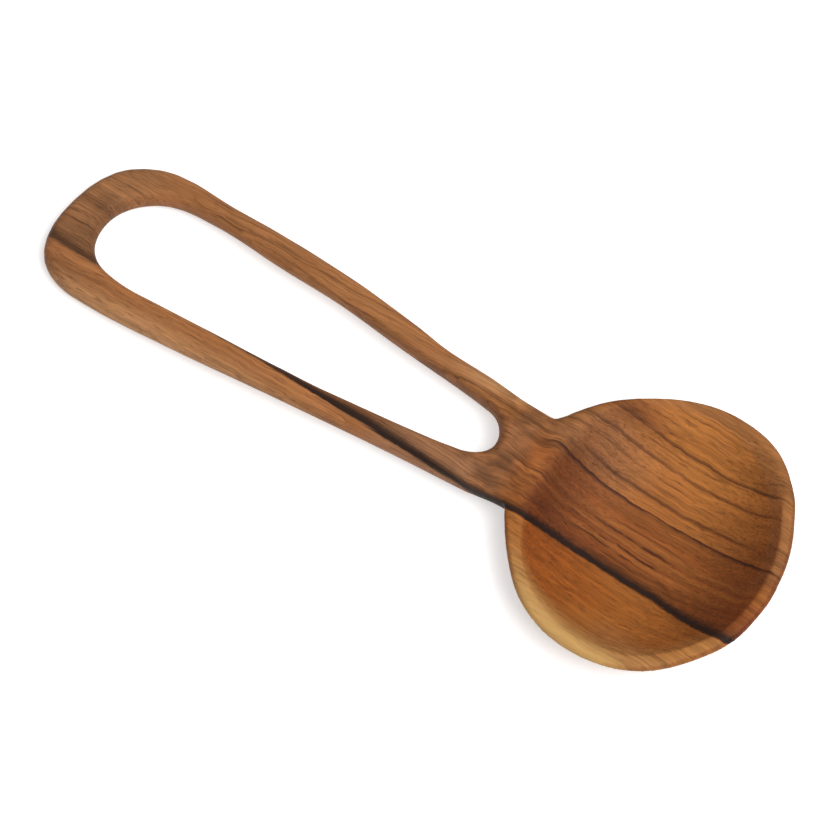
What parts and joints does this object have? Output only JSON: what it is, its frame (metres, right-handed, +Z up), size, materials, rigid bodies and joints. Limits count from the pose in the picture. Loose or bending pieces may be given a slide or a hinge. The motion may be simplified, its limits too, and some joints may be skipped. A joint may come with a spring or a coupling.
{
  "type": "wooden spoon",
  "caption": "Wooden spoon carved from one board: a shallow round bowl, a short neck and a long pierced loop for a handle, for serving and scooping.",
  "frame": {"origin": "middle of the flat foot under the bowl, on the table", "axes": "+X along the spoon to the tip of the bowl, +Z up from the table, so the handle runs to -X and the left arm of its loop is on +Y"},
  "size_m": [0.1774, 0.0638, 0.0147],
  "materials": {
    "wood": "oiled, satin"
  },
  "bodies": {
    "root": {"bowl": "wood", "handle": "wood"}
  },
  "joints": []
}
